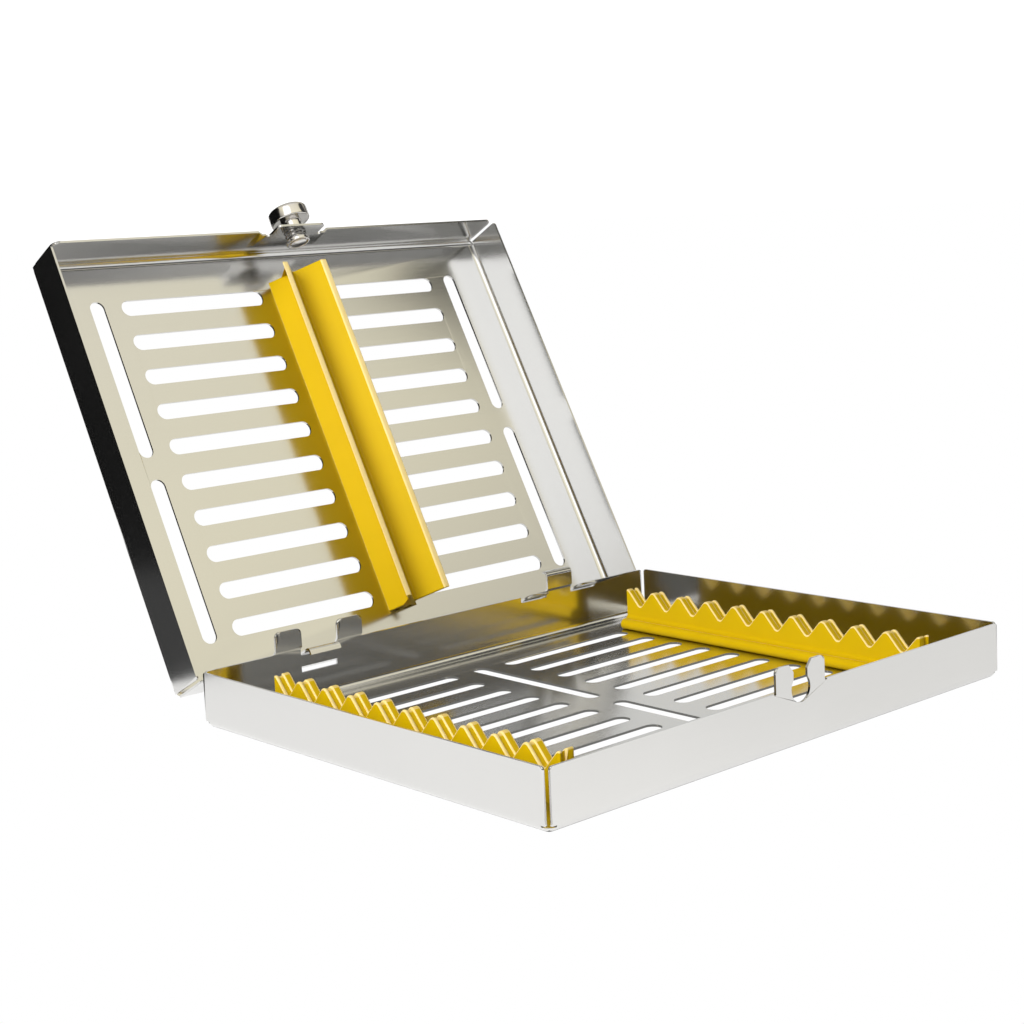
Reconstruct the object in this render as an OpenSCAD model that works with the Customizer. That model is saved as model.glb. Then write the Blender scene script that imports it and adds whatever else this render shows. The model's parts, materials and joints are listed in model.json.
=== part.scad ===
// Hinged wash cassette for dental hand instruments, in millimetres.
// Two like trays are pressed from perforated sheet. The upper one is the lower one turned over.
// Tabs and hooks cut from the sheet itself make the hinge, and a sprung pull knob makes the latch.
// Two notched rails carry the instruments and a bar in the lid holds them down.
// The origin is the middle of the lower tray's underside. The latch faces -Y and the lid stands open.

/* [Tray] */
// Length of each tray, from side to side
tray_w = 180; // [170:1:220]
// Depth of each tray, from the latch to the hinge
tray_d = 143; // [138:1:170]
// Height of one tray
tray_h = 16; // [15:0.5:20]
// Thickness of the sheet
sheet_t = 0.7; // [0.6:0.05:0.8]
// Outer radius of the bend at the foot of each wall
bend_r = 2.8; // [2.2:0.1:3.4]
// Distance from each wall's end to the corner
corner_gap = 1.3; // [1.1:0.1:1.8]
// Height of the rounded lip that closes each corner at the floor
corner_lip = 1.5; // [1.2:0.1:1.6]
// Height at which the open seam of each corner begins
seam_start = 2; // [1.9:0.1:2.2]
// Radius on the upper corners of the walls
rim_corner_r = 0.8; // [0.4:0.1:1.5]
// Radius on the lid's front corners
lid_corner_r = 2.5; // [1:0.1:3]

/* [Drain slots] */
// Number of rows of cross slots
slot_rows = 10; // [8:2:10]
// Distance from row to row
slot_pitch = 12.1; // [11:0.1:12.5]
// Width of a cross slot
slot_w = 5.4; // [4:0.1:6.5]
// From the middle line to the near end of the cross slots
slot_from_middle = 10; // [9.5:0.1:14]
// From the rail's line to the far end of the cross slots
slot_from_rail = 8.5; // [7.5:0.1:12]
// Width of the long slots that hold the rails
rail_slot_w = 5; // [4:0.1:5.6]
// Length of each long slot
rail_slot_len = 53.8; // [45:0.1:56]
// Half the bridge between the two long slots of a line
rail_slot_bridge = 3.7; // [3:0.1:6]
// From the side of the tray to the line of a rail
rail_inset = 18; // [15:0.5:22]

/* [Rails] */
// Number of notches in each rail
notches = 10; // [8:1:10]
// Distance from notch to notch
notch_pitch = 11.7; // [11:0.1:12.4]
// Slope of the sides of a notch, from level
notch_slope = 48; // [40:1:52]
// Radius at the tips and in the notches
notch_r = 1.4; // [0.8:0.1:1.5]
// Flat length beyond the last tip at each end
rail_end = 0.3; // [0.2:0.1:2]
// Thickness of the rail
rail_t = 6.2; // [5.8:0.1:7.5]
// From the rim of the tray down to the tips of the rail
rail_below_rim = 1.8; // [0.5:0.1:3]
// Width of the lip along the inner side
inner_lip_w = 2.3; // [1.8:0.1:2.6]
// Width of the lip along the outer side
outer_lip_w = 1.9; // [1.5:0.1:2.2]
// Depth of the outer lip's tips below the inner ones
outer_lip_drop = 0.1; // [0.1:0.1:1]
// Depth of the groove between the lips, which also runs down both ends
lip_groove = 0.8; // [0.5:0.1:1.6]
// How far the foot reaches past the rail's inner face
foot_reach = 3.4; // [2:0.1:4]
// Thickness of the foot
foot_h = 3.5; // [2.6:0.1:4]
// Fillet between the foot and the rail
foot_fillet = 1.5; // [0.5:0.1:2]
// Clearance of a plug in its long slot
plug_gap = 0.15; // [0.1:0.05:0.3]
// How far the plugs stay short of the tray's outer face
plug_recess = 0.1; // [0.05:0.05:0.2]

/* [Lid bar] */
// Length of the bar
bar_len = 119.5; // [112:0.5:122]
// Thickness of its arms and feet
bar_t = 1.6; // [1.2:0.1:2.2]
// Thickness of its middle web
bar_web = 2.4; // [1.6:0.1:3.4]
// From the lid's plate to the crossing of the arms
bar_cross = 5.8; // [5:0.1:8]
// From the lid's plate to the tips of the arms
bar_drop = 15.4; // [14:0.1:20]
// Half the width over the arms' flat tips
bar_reach = 9; // [6:0.1:9.2]
// Half the width over the feet
bar_foot = 5.7; // [5:0.1:7]
// Fillet where the limbs meet
bar_fillet = 0.8; // [0.2:0.1:0.9]

/* [Hinge] */
// How far the lid swings
open_angle = 118; // [100:1:118]
// From the middle line to the middle of each hinge
hinge_x = 49.2; // [45:0.1:52]
// Depth of the hinge axis below the rim
hinge_drop = 2.2; // [2:0.1:2.3]
// Width of the hooked tongue
tongue_w = 11; // [9:0.1:12]
// Width of each plain tab
tab_w = 9.3; // [8:0.1:10]
// Height of the plain tabs above the rim
tab_h = 6.6; // [5:0.1:7]
// Radius on the top corners of the plain tabs
tab_r = 1.8; // [1:0.1:2.5]
// Side clearance of a tongue in its notch
tongue_gap = 1; // [0.5:0.05:1.2]
// Side clearance of a plain tab in its notch
tab_gap = 1.1; // [0.6:0.1:1.5]
// Height of the web between a notch and a hinge slot
web_h = 3.3; // [3:0.1:3.4]
// Height of a hinge slot
hinge_slot_h = 1.8; // [1.7:0.1:2]
// Height of the notch floor above the axis
notch_rise = 0.2; // [0.1:0.05:0.25]
// Clearance between the tongue's hook and the web
hook_gap = 0.4; // [0.35:0.05:0.45]
// Inner radius of the hook
hook_r = 0.6; // [0.5:0.05:0.65]
// How far the hook reaches past the wall's middle plane
hook_reach = 1.2; // [1:0.1:1.3]
// Clearance between a tab and the wall that it slides behind
joggle_gap = 0.15; // [0.12:0.01:0.2]
// Height over which a tab steps behind the wall
joggle_h = 1; // [0.9:0.1:1.3]
// How far each hinge wall stays below the rim
hinge_wall_drop = 0.15; // [0.1:0.05:0.3]

/* [Latch] */
// Depth of the keyhole's centre below the rim
latch_drop = 0.4; // [0:0.1:0.8]
// Radius of the keyhole's round part
key_r = 3.8; // [3.6:0.05:4]
// Half the width of the keyhole's neck
key_neck = 2.8; // [2.4:0.05:2.9]
// Half the width of the keyhole's mouth
key_mouth = 5; // [4:0.1:6]
// Height of the flared mouth
key_mouth_h = 2.2; // [1.5:0.1:2.6]
// Half the width over the two latch ears
ear_half = 9.8; // [9:0.1:11]
// Height of the latch ears above the rim
ear_h = 6.5; // [6:0.1:7]
// Radius on the top corners of the latch ears
ear_r = 1.5; // [0.8:0.1:2]
// Clearance between the ears and the lid's tongue behind them
ear_gap = 0.4; // [0.3:0.05:0.5]
// Half the width of the lid's latch tongue
catch_half = 9.4; // [8.8:0.1:10]
// How far the latch tongue reaches past the pin's axis
catch_past = 5.3; // [4.6:0.1:6]
// Radius on the end corners of the latch tongue
catch_r = 1.5; // [0.3:0.1:2]
// Half the width of the recess's flat floor
recess_flat = 12.6; // [10.4:0.1:13]
// Width of each sloping side of the recess
recess_side = 1.2; // [1:0.1:3]
// From the ears' tops to the end of the recess's floor
recess_over = 0.5; // [0.3:0.1:1]
// Length of the recess's sloping end
recess_end = 3; // [2:0.1:5]
// Radius of the relief beside the latch tongue
catch_relief = 0.9; // [0.5:0.1:1.2]
// Radius of the pin
pin_r = 2.2; // [2:0.05:2.3]
// Clearance round the pin in the lid's tongue
pin_gap = 0.15; // [0.1:0.05:0.25]
// Radius of the knob's collar, which sits in the keyhole
collar_r = 3.5; // [3.2:0.05:3.55]
// Length of the collar
collar_len = 3.4; // [2.8:0.1:4]
// Radius of the knob
knob_r = 6.7; // [5.5:0.1:7]
// Height of the knob
knob_h = 4.8; // [4:0.1:6]
// Radius on the knob's outer edge
knob_round = 1.4; // [0.8:0.1:1.8]
// Chamfer on the knob's inner edge
knob_chamfer = 0.5; // [0.2:0.1:0.8]
// Depth of the pin's socket in the knob
socket_depth = 3.2; // [2:0.1:3.6]
// Clearance between the pin and the parts fixed on it
seat_gap = 0.02; // [0.01:0.01:0.03]
// Space for the spring between the lid's tongue and the washer
spring_len = 2.5; // [2.4:0.1:3]
// Thickness of the spring's wire
spring_wire = 0.5; // [0.4:0.05:0.5]
// Number of turns of the spring
spring_turns = 2; // [1.5:0.1:2.1]
// Middle radius of the spring's wide end
spring_r_wide = 3.6; // [3.3:0.05:3.7]
// Middle radius of the spring's narrow end
spring_r_narrow = 3; // [2.9:0.05:3.1]
// Clearance at each end of the spring
spring_seat = 0.05; // [0.03:0.01:0.1]
// Radius of the washer
washer_r = 4; // [3.9:0.05:4.4]
// Thickness of the washer
washer_t = 0.8; // [0.7:0.1:1.2]
// Width of the washer's raised rim
washer_rim = 0.6; // [0.4:0.1:0.8]
// Height of the washer's raised rim
washer_rim_h = 0.4; // [0.2:0.1:0.5]
// Radius of the head that holds the washer on the pin
head_r = 2.8; // [2.5:0.1:3]
// Thickness of that head
head_t = 0.4; // [0.3:0.1:0.6]

/* [Hidden] */

$fn = 64;
steel = [0.78, 0.77, 0.74];
bright_steel = [0.86, 0.86, 0.85];
spring_steel = [0.35, 0.35, 0.36];
silicone = [0.98, 0.77, 0.04];

closed_h = 2 * tray_h;
wall_w = tray_w - 2 * corner_gap;
wall_d = tray_d - 2 * corner_gap;
flat_x = tray_w / 2 - bend_r;
flat_y = tray_d / 2 - bend_r;
bend_in = bend_r - sheet_t;
root = 1;
rail_x = tray_w / 2 - rail_inset;
slot_len = rail_x - slot_from_rail - slot_from_middle;
slot_mid = slot_from_middle + slot_len / 2;
rail_slot_y = rail_slot_bridge + rail_slot_len / 2;

rail_top = tray_h - rail_below_rim;
rail_len = notches * notch_pitch + 2 * rail_end;
notch_depth = (notch_pitch / 2 - 2 * notch_r * sin(notch_slope)) * tan(notch_slope)
            + 2 * notch_r * (1 - cos(notch_slope));
arc_steps = 5;
plug_t = sheet_t - plug_recess;

axis_y = tray_d / 2 - sheet_t / 2;
axis_z = tray_h - hinge_drop;
notch_z = axis_z + notch_rise;
slot_top = notch_z - web_h;
hinge_rim = tray_h - hinge_wall_drop;
leg_in = sheet_t + joggle_gap;
hook_z = closed_h - slot_top + hook_gap;
notch_w = tongue_w + 2 * tongue_gap;
tab_mid = notch_w / 2 + tab_w / 2;

latch_z = tray_h - latch_drop;
ear_top = tray_h + ear_h;
recess_depth = sheet_t + ear_gap;
recess_floor_z = closed_h - ear_top - recess_over;
recess_z = recess_floor_z - recess_end;
recess_half = recess_flat + recess_side;
catch_top = closed_h - latch_z + catch_past;
catch_out_y = -tray_d / 2 + recess_depth;
catch_in_y = catch_out_y + sheet_t;
knob_y = catch_out_y - collar_len;
washer_y = catch_in_y + spring_len;
washer_back_y = washer_y + washer_t;

// A flat plate with rounded upper corners, centred on x = 0
module plate_outline(w, z0, z1, r) {
    translate([-w / 2, z0]) square([w, z1 - z0 - r]);
    translate([-w / 2 + r, z0]) square([w - 2 * r, z1 - z0]);
    for (s = [-1, 1]) translate([s * (w / 2 - r), z1 - r]) circle(r);
}

// A slot with round ends, lying along x
module slot_outline(len, w) {
    square([len - w, w], center = true);
    for (s = [-1, 1]) translate([s * (len - w) / 2, 0]) circle(w / 2);
}

// The long slots of the three lines, or the plugs that fill them
module long_slots(x, gap = 0) {
    for (s = [-1, 1]) translate([x, s * rail_slot_y]) rotate(90)
        slot_outline(rail_slot_len - 2 * gap, rail_slot_w - 2 * gap);
}

module floor_plate() {
    linear_extrude(sheet_t) difference() {
        square([2 * flat_x, 2 * flat_y], center = true);
        for (s = [-1, 1], k = [0:slot_rows - 1])
            translate([s * slot_mid, (k - (slot_rows - 1) / 2) * slot_pitch])
                slot_outline(slot_len, slot_w);
        for (x = [-rail_x, 0, rail_x]) long_slots(x);
    }
}

// Section of the sheet round a bend about [0, bend_r]: from the floor at x = 0 down and out to -X
module bend_ring() {
    translate([0, bend_in + sheet_t]) difference() {
        circle(bend_in + sheet_t);
        circle(bend_in);
    }
}

// A bend along the wall at -Y. Near the corners only the part above the seam's start is left.
module bend(flat) {
    rotate([90, 0, 90]) {
        linear_extrude(2 * flat, center = true) intersection() {
            bend_ring();
            translate([-bend_r, 0]) square(bend_r);
        }
        linear_extrude(2 * (flat + bend_r - corner_gap), center = true) intersection() {
            bend_ring();
            translate([-bend_r, seam_start]) square([bend_r, bend_r - seam_start]);
        }
    }
}

// The rounded lip that closes a corner at the floor
module corner() {
    translate([flat_x, flat_y, 0]) rotate_extrude(angle = 90) intersection() {
        bend_ring();
        square([bend_r, corner_lip]);
    }
}

// A plate drawn in x and z. Its outer face is set out of the bend line at -Y by the bend's radius.
module wall_plate(flat) {
    translate([0, -flat, 0]) rotate([90, 0, 0]) translate([0, 0, bend_in])
        linear_extrude(sheet_t) children();
}

// The floor, the two side walls and the hinge wall, which both trays share
module pressing() {
    floor_plate();
    for (a = [0, 1], b = [0, 1]) mirror([a, 0, 0]) mirror([0, b, 0]) corner();
    for (a = [0, 1]) mirror([0, a, 0]) translate([0, -flat_y, 0]) bend(flat_x);
    for (a = [90, -90]) rotate(a) {
        translate([0, -flat_x, 0]) bend(flat_y);
        wall_plate(flat_x) plate_outline(wall_d, bend_r, tray_h, rim_corner_r);
    }
    mirror([0, 1, 0]) wall_plate(flat_y) hinge_wall_outline();
    for (s = [-1, 1]) plain_tab(-hinge_x + s * tab_mid);
    tongue(hinge_x);
}

module hinge_wall_outline() {
    notch_top = tray_h - notch_z + 1;
    side_w = tab_mid + tab_w / 2 + tab_gap - tongue_w / 2;
    difference() {
        plate_outline(wall_w, bend_r, hinge_rim, rim_corner_r);
        translate([-hinge_x - notch_w / 2, notch_z]) square([notch_w, notch_top]);
        translate([-hinge_x - notch_w / 2, slot_top - hinge_slot_h])
            square([notch_w, hinge_slot_h]);
        for (s = [-1, 1])
            translate([hinge_x + s * (tongue_w / 2 + side_w / 2) - side_w / 2, notch_z])
                square([side_w, notch_top]);
    }
}

// Side view of a strip that leaves the wall at height z0 and steps in behind the next wall.
// x is the distance inwards from the wall's outer face. The strip's root lies in the wall.
module joggle_outline(z0, z1) {
    run = sqrt(joggle_h * joggle_h + leg_in * leg_in);
    lift = sheet_t * (run - joggle_h) / leg_in;
    polygon([
        [0, z0 - root], [0, z0 + lift], [leg_in, z0 + lift + joggle_h], [leg_in, z1],
        [leg_in + sheet_t, z1], [leg_in + sheet_t, z0 + joggle_h], [sheet_t, z0],
        [sheet_t, z0 - root]
    ]);
}

// Turns a side view into a strip of width w on the hinge wall
module hinge_strip(x, w) {
    translate([x + w / 2, flat_y + bend_r, 0]) rotate([90, 0, -90]) linear_extrude(w) children();
}

module plain_tab(x) {
    top = tray_h + tab_h;
    intersection() {
        hinge_strip(x, tab_w) joggle_outline(hinge_rim, top);
        translate([x, tray_d / 2, 0]) rotate([90, 0, 0]) linear_extrude(3 * sheet_t + joggle_gap)
            plate_outline(tab_w, hinge_rim - root, top, tab_r);
    }
}

module tongue(x) {
    arc_x = leg_in - hook_r;
    arc_z = hook_z - hook_r;
    hook = arc_x - sheet_t / 2 + hook_reach;
    hinge_strip(x, tongue_w) {
        joggle_outline(hinge_rim, arc_z);
        translate([arc_x, arc_z]) {
            intersection() {
                difference() {
                    circle(hook_r + sheet_t);
                    circle(hook_r);
                }
                square(hook_r + sheet_t);
            }
            translate([-hook, hook_r]) square([hook, sheet_t]);
        }
    }
}

// The front wall of the lower tray, with the two latch ears and the keyhole between them
module ear_wall_outline() {
    relief = catch_relief / 2;
    difference() {
        union() {
            plate_outline(wall_w, bend_r, tray_h, rim_corner_r);
            plate_outline(2 * ear_half, tray_h / 2, ear_top, ear_r);
        }
        translate([0, latch_z]) circle(key_r);
        translate([-key_neck, latch_z]) square([2 * key_neck, ear_h + tray_h]);
        polygon([[-key_neck, ear_top - key_mouth_h], [key_neck, ear_top - key_mouth_h],
                 [key_mouth, ear_top + relief], [-key_mouth, ear_top + relief]]);
        for (s = [-1, 1]) translate([s * (ear_half + relief), tray_h]) circle(relief);
    }
}

// All that lies behind the lid's recessed front wall, whose surface is set back by a distance
module behind_recess(back) {
    side = recess_half + root;
    low = recess_z - root;
    top = tray_h + root;
    deep = recess_depth + 4 * sheet_t;
    translate([0, -tray_d / 2, low]) linear_extrude(top - low)
        polygon([[-side, back], [-recess_half, back], [-recess_flat, recess_depth + back],
                 [recess_flat, recess_depth + back], [recess_half, back], [side, back],
                 [side, deep], [-side, deep]]);
    translate([-side, -tray_d / 2, 0]) rotate([90, 0, 90]) linear_extrude(2 * side)
        polygon([[back, low], [back, recess_z], [recess_depth + back, recess_floor_z],
                 [recess_depth + back, top], [deep, top], [deep, low]]);
}

// The lid's front wall has a shallow recess for the ears, and the latch tongue stands on it
module recess() {
    hole_z = closed_h - latch_z;
    difference() {
        union() {
            difference() {
                intersection() {
                    behind_recess(0);
                    translate([-recess_half, -tray_d / 2 - root, recess_z])
                        cube([2 * recess_half, root + recess_depth + 3 * sheet_t, tray_h - recess_z]);
                }
                behind_recess(sheet_t);
            }
            translate([0, recess_depth, 0]) wall_plate(flat_y)
                plate_outline(2 * catch_half, tray_h - root, catch_top, catch_r);
        }
        for (s = [-1, 1])
            translate([s * (catch_half + catch_relief), -tray_d / 2 - root, tray_h])
                rotate([-90, 0, 0]) cylinder(r = catch_relief, h = 5);
        translate([0, -tray_d / 2 - root, hole_z]) rotate([-90, 0, 0])
            cylinder(r = pin_r + pin_gap, h = 5);
    }
}

module catch_wall_outline() {
    difference() {
        plate_outline(wall_w, bend_r, tray_h, lid_corner_r);
        translate([-recess_half, recess_z]) square([2 * recess_half, tray_h]);
    }
}

// Turns the lid's parts from shut to open, about the hinge axis
module opened() {
    translate([0, axis_y, axis_z]) rotate([-open_angle, 0, 0]) translate([0, -axis_y, -axis_z])
        children();
}

module base_tray() {
    color(steel) {
        pressing();
        wall_plate(flat_y) ear_wall_outline();
    }
}

module lid_tray() {
    color(steel) opened() translate([0, 0, closed_h]) rotate([0, 180, 0]) {
        pressing();
        wall_plate(flat_y) catch_wall_outline();
        recess();
    }
}

// Points of an arc that runs from slope a0 to a1, hollow side up, or down with up = -1
function arc(y, z, a0, a1, up) = [
    for (i = [0:arc_steps]) let (a = a0 + (a1 - a0) * i / arc_steps)
        [y + notch_r * sin(a), z + up * notch_r * (1 - cos(a))]
];

// Side view of a rail whose tips lie at height top
function wave(top) = [
    [-rail_len / 2, sheet_t],
    [-rail_len / 2, top],
    for (k = [0:notches]) each concat(
        arc((k - notches / 2) * notch_pitch, top,
            k == 0 ? 0 : -notch_slope, k == notches ? 0 : notch_slope, -1),
        k == notches ? [] : arc((k + 0.5 - notches / 2) * notch_pitch, top - notch_depth,
            -notch_slope, notch_slope, 1)),
    [rail_len / 2, top],
    [rail_len / 2, sheet_t]
];

// A rail at x = 0 whose inner side is +X
module rail() {
    half = rail_t / 2;
    nose = foot_h / 2;
    groove_w = rail_t - inner_lip_w - outer_lip_w;
    foot_top = sheet_t + foot_h;
    foot_in = half - inner_lip_w / 2;
    layers = [[-half, outer_lip_w, outer_lip_drop, 0],
              [-half + outer_lip_w, groove_w, lip_groove, lip_groove],
              [half - inner_lip_w, inner_lip_w, 0, 0]];
    for (l = layers) translate([l[0], 0, 0]) rotate([90, 0, 90]) linear_extrude(l[1])
        intersection() {
            polygon(wave(rail_top - l[2]));
            translate([l[3] - rail_len / 2, 0]) square([rail_len - 2 * l[3], tray_h]);
        }
    translate([0, rail_len / 2, 0]) rotate([90, 0, 0]) linear_extrude(rail_len) {
        translate([foot_in, sheet_t]) square([half + foot_reach - nose - foot_in, foot_h]);
        translate([half + foot_reach - nose, sheet_t + nose]) circle(nose);
        difference() {
            translate([foot_in, foot_top - 0.5])
                square([half + foot_fillet - foot_in, foot_fillet + 0.5]);
            translate([half + foot_fillet, foot_top + foot_fillet]) circle(foot_fillet);
        }
    }
    translate([0, 0, plug_recess]) linear_extrude(plug_t) long_slots(0, plug_gap);
}

module left_rail() {
    color(silicone) translate([-rail_x, 0, 0]) rail();
}

module right_rail() {
    color(silicone) translate([rail_x, 0, 0]) mirror([1, 0, 0]) rail();
}

// Point at s along a limb that leaves the crossing at angle a, and d to the limb's left
function beside(a, s, d) = [s * cos(a) - d * sin(a), s * sin(a) + d * cos(a)];

// Angle of a limb of half thickness h whose flat end at the level z has its outer corner at x
function limb_angle(x, z, h) = atan2(z, x) + sign(z) * asin(h / norm([x, z]));

// Fillet between the left side of a limb at angle a and the right side of the next one at angle b
function crotch(a, ha, b, hb) =
    let (c = [(ha + bar_fillet) * cos(b) + (hb + bar_fillet) * cos(a),
              (ha + bar_fillet) * sin(b) + (hb + bar_fillet) * sin(a)] / sin(b - a))
        [for (i = [0:arc_steps]) let (t = a - 90 - (180 - b + a) * i / arc_steps)
            c + bar_fillet * [cos(t), sin(t)]];

// Flat end of a limb of half thickness h, at the level z
function flat_end(a, h, z) = [
    for (d = [-h, h]) beside(a, (z - d * cos(a)) / sin(a), d)
];

// Section of the bar about its crossing: two arms, two feet and the web between the feet
function bar_section() =
    let (h = bar_t / 2, web = bar_web / 2, tip = bar_cross - bar_drop,
         arm = limb_angle(bar_reach, tip, h), foot = limb_angle(bar_foot, bar_cross, h))
        concat(flat_end(-180 - arm, h, tip), crotch(-180 - arm, h, arm, h),
               flat_end(arm, h, tip), crotch(arm, h, foot, h),
               flat_end(foot, h, bar_cross), crotch(foot, h, 90, web),
               flat_end(90, web, bar_cross), crotch(90, web, 180 - foot, h),
               flat_end(180 - foot, h, bar_cross), crotch(180 - foot, h, 180 - arm, h));

module lid_bar() {
    plate = closed_h - sheet_t;
    color(silicone) opened() {
        translate([0, bar_len / 2, plate - bar_cross]) rotate([90, 0, 0]) linear_extrude(bar_len)
            polygon(bar_section());
        translate([0, 0, plate]) linear_extrude(plug_t) long_slots(0, plug_gap);
    }
}

// Puts a part on the pin's axis at the depth y, with its own +Z pointing out of the front
module on_pin(y) {
    opened() translate([0, y, latch_z]) rotate([90, 0, 0]) children();
}

module latch_knob() {
    color(bright_steel) on_pin(knob_y) rotate_extrude() difference() {
        union() {
            translate([0, -collar_len]) square([collar_r, collar_len + 1]);
            intersection() {
                union() {
                    translate([0, knob_chamfer]) square([knob_r, knob_h - knob_round - knob_chamfer]);
                    square([knob_r - knob_round, knob_h]);
                    translate([knob_r - knob_round, knob_h - knob_round]) circle(knob_round);
                    polygon([[0, 0], [knob_r - knob_chamfer, 0], [knob_r, knob_chamfer],
                             [0, knob_chamfer]]);
                }
                square([knob_r, knob_h]);
            }
        }
        translate([0, -collar_len - 1])
            square([pin_r + seat_gap, collar_len + 1 + socket_depth]);
    }
}

module latch_pin() {
    tip = socket_depth - seat_gap;
    shaft = tip + washer_back_y - knob_y;
    color(bright_steel) on_pin(washer_back_y) {
        cylinder(r = pin_r, h = shaft);
        translate([0, 0, -head_t]) cylinder(r = head_r, h = head_t);
    }
}

module latch_washer() {
    color(bright_steel) on_pin(washer_back_y) difference() {
        translate([0, 0, -washer_rim_h]) cylinder(r = washer_r, h = washer_t + washer_rim_h);
        translate([0, 0, -washer_rim_h - 1]) cylinder(r = washer_r - washer_rim, h = washer_rim_h + 1);
        translate([0, 0, -1]) cylinder(r = pin_r + seat_gap, h = washer_t + 2);
    }
}

// The spring is one tube that narrows as it climbs from the lid's tongue to the washer
spring_rings = 8;
spring_sides = 6;
spring_rise = spring_len - spring_wire - 2 * spring_seat;

function spring_point(u) =
    let (r = spring_r_wide + (spring_r_narrow - spring_r_wide) * u, a = 360 * spring_turns * u)
        [r * cos(a), r * sin(a), spring_wire / 2 + spring_seat + spring_rise * u];

function spring_ring(u) =
    let (c = spring_point(u), a = 360 * spring_turns * u, w = spring_wire / 2)
        [for (j = [0:spring_sides - 1]) let (b = 360 * j / spring_sides)
            c + [w * cos(b) * cos(a), w * cos(b) * sin(a), w * sin(b)]];

module latch_spring() {
    n = round(spring_rings * spring_turns);
    m = spring_sides;
    points = [for (i = [0:n]) each spring_ring(i / n)];
    skin = [for (i = [0:n - 1], j = [0:m - 1]) let (a = i * m, b = a + m, k = (j + 1) % m)
        each [[a + j, b + k, b + j], [a + j, a + k, b + k]]];
    ends = [for (j = [1:m - 2]) each [[0, j + 1, j], [n * m, n * m + j, n * m + j + 1]]];
    turn = 1 / spring_turns;
    gaps = [for (i = [0:n]) if (i / n + turn <= 1)
        norm(spring_point(i / n + turn) - spring_point(i / n)) - spring_wire];
    echo(least_gap_between_turns = min(gaps));
    color(spring_steel) on_pin(catch_in_y) mirror([0, 0, 1]) polyhedron(points, concat(skin, ends));
}

base_tray();
lid_tray();
left_rail();
right_rail();
lid_bar();
latch_knob();
latch_pin();
latch_spring();
latch_washer();
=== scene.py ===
import json
from math import asin, atan2, copysign, cos, hypot, pi, radians, sin, tan

import bmesh
import bpy
from bpy.props import FloatProperty, FloatVectorProperty, IntProperty, PointerProperty
from mathutils import Euler, Matrix, Vector


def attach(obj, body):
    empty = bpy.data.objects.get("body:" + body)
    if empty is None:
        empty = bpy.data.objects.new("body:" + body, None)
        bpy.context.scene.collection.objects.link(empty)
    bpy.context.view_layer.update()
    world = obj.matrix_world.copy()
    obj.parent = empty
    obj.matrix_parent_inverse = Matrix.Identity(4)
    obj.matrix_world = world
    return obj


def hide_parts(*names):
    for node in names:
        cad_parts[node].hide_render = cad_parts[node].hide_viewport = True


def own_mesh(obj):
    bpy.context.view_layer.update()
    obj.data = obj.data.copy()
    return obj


bl_info = {
    "name": "Instrument cassette",
    "version": (1, 0, 0),
    "blender": (4, 5, 0),
    "location": "View3D > Sidebar > Cassette",
    "description": "Dresses a hinged steel wash cassette: silicone rails and bar, turned latch, sprung pin",
    "category": "Object",
}

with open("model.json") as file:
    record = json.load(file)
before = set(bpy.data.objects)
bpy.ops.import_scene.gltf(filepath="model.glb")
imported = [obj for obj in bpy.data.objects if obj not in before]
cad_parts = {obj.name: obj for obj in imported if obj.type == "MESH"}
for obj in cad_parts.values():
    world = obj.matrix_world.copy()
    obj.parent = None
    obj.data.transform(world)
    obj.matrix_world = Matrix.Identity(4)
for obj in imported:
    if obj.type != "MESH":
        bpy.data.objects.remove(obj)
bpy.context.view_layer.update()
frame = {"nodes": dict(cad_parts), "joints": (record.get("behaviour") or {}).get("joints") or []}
JOINTS = {joint["name"]: joint for joint in frame["joints"]}
MM = 0.001

HINGE = JOINTS["lid_hinge"]
SWING = radians(HINGE["range_deg"][1])
HINGE_POINT = Vector(HINGE["pos_m"])
SHEET = 0.7 * MM
TRAY_HEIGHT = 16 * MM
PLATE = 2 * TRAY_HEIGHT - SHEET

# Places of the silicone pieces, as the solids have them
RAIL_PLACE = 72 * MM
PLUG_PLACE = 30.6 * MM
PLUG_RECESS = 0.1 * MM
BAR_CROSS = 5.8 * MM
BAR_DROP = 15.4 * MM
BAR_HALF = 59.75 * MM


def opened():
    """Turns what is drawn for the shut lid to where the open lid holds it."""
    return (
        Matrix.Translation(HINGE_POINT)
        @ Matrix.Rotation(-SWING, 4, Vector(HINGE["axis"]))
        @ Matrix.Translation(-HINGE_POINT)
    )


def length(name, description, default, low, high):
    """A length that the panel shows."""
    return FloatProperty(
        name=name, description=description, default=default, min=low, max=high, unit="LENGTH", precision=5
    )


def share(name, description, default):
    """A number from nothing to all, shown as a slider."""
    return FloatProperty(name=name, description=description, default=default, min=0, max=1, subtype="FACTOR")


def colour(name, description, default):
    """A colour that the panel shows."""
    return FloatVectorProperty(
        name=name, description=description, default=default, size=3, min=0, max=1, subtype="COLOR"
    )


class SteelSettings(bpy.types.PropertyGroup):
    sheet: colour("Sheet", "Colour of the trays' rolled sheet", (0.68, 0.678, 0.67))
    sheet_roughness: share("Sheet roughness", "Gloss of the rolled sheet", 0.17)
    turned: colour("Turned parts", "Colour of the knob, pin and washer", (0.72, 0.7, 0.68))
    turned_roughness: share("Turned roughness", "Gloss of the turned parts", 0.12)
    wire: colour("Wire", "Colour of the spring's wire", (0.32, 0.31, 0.3))
    grain: share("Grain", "Strength of the rolling grain", 0.35)


class SiliconeSettings(bpy.types.PropertyGroup):
    colour: colour("Colour", "Colour of the moulded silicone", (0.58, 0.385, 0.0))
    roughness: share("Roughness", "Gloss of the silicone", 0.42)
    edge: length("Edge", "Radius on the moulded edges", 0.45 * MM, 0.1 * MM, 0.5 * MM)
    # Colour of the highlight painted on the silicone's rounded edges, lip tops and arm tips.
    pale: colour("Edge colour", "Colour where edges let the light through", (0.95, 0.78, 0.4))


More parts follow.
